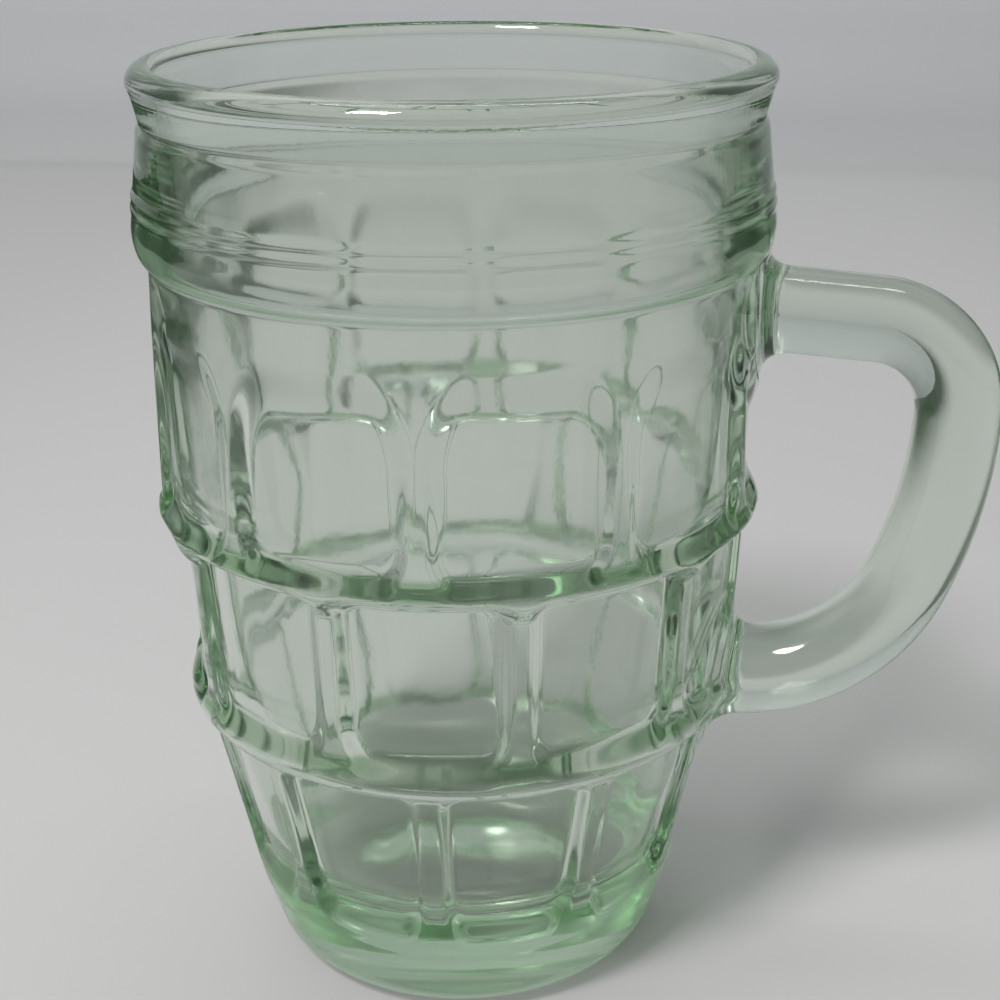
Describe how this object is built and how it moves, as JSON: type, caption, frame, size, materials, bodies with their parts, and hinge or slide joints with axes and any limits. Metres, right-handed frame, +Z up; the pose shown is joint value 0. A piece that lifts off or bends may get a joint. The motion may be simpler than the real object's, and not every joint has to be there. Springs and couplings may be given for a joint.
{
  "type": "barrel beer mug",
  "caption": "Heavy pressed-glass beer mug shaped like a hooped barrel, with staggered rows of sunk windows, a beaded collar, a rolled rim and a looped glass handle.",
  "frame": {"origin": "centre of the foot, on the plane the mug stands on", "axes": "+Z up along the barrel's axis, +X out along the handle, +Y completes the right-handed frame"},
  "size_m": [0.1277, 0.0934, 0.141],
  "materials": {
    "barrel_glass": "clear, pale green, fire polished",
    "handle_glass": "clear, pale green, fire polished"
  },
  "bodies": {
    "root": {"barrel": "barrel_glass", "handle": "handle_glass"}
  },
  "joints": []
}
